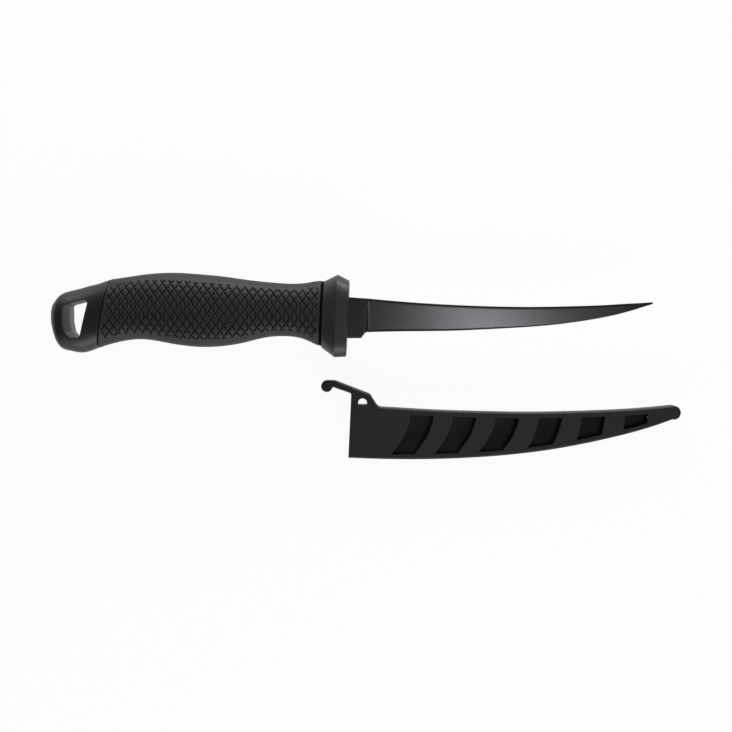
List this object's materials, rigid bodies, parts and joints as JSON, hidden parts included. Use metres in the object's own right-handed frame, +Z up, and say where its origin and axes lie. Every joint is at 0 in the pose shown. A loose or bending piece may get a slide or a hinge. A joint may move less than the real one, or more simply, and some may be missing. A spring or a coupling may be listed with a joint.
{
  "type": "fillet knife with sheath",
  "caption": "Fillet knife with a slim black ground blade, soft scale-pattern grip, guard and lanyard butt, lying beside its windowed hook-arm sheath.",
  "frame": {"origin": "middle of the footprint of the knife and sheath, on the surface that they lie on", "axes": "+X along the blade towards its tip, +Y towards the knife's spine side, away from the sheath, +Z up out of the side that faces up"},
  "size_m": [0.3146, 0.094, 0.024],
  "materials": {
    "blade_black_steel": "black coated, satin brushed",
    "guard_nylon": "fine moulded satin",
    "spacer_rubber": "matt black",
    "core_nylon": "moulded, hidden",
    "pin_steel": "plain turned",
    "grip_rubber": "matt with a moulded scale pattern",
    "butt_nylon": "smooth moulded satin gloss",
    "sheath_plastic": "fine spark-eroded matt"
  },
  "bodies": {
    "knife": {"blade": "blade_black_steel", "guard": "guard_nylon", "guard_spacer": "spacer_rubber", "handle_core": "core_nylon", "tang_pins": "pin_steel", "grip": "grip_rubber", "butt_cap": "butt_nylon"},
    "sheath": {"sheath": "sheath_plastic"}
  },
  "joints": [
    {"name": "sheath_slide", "type": "slide", "parent": "knife", "child": "sheath", "axis": [1, 0, 0], "range_m": [0, 0.155]}
  ]
}
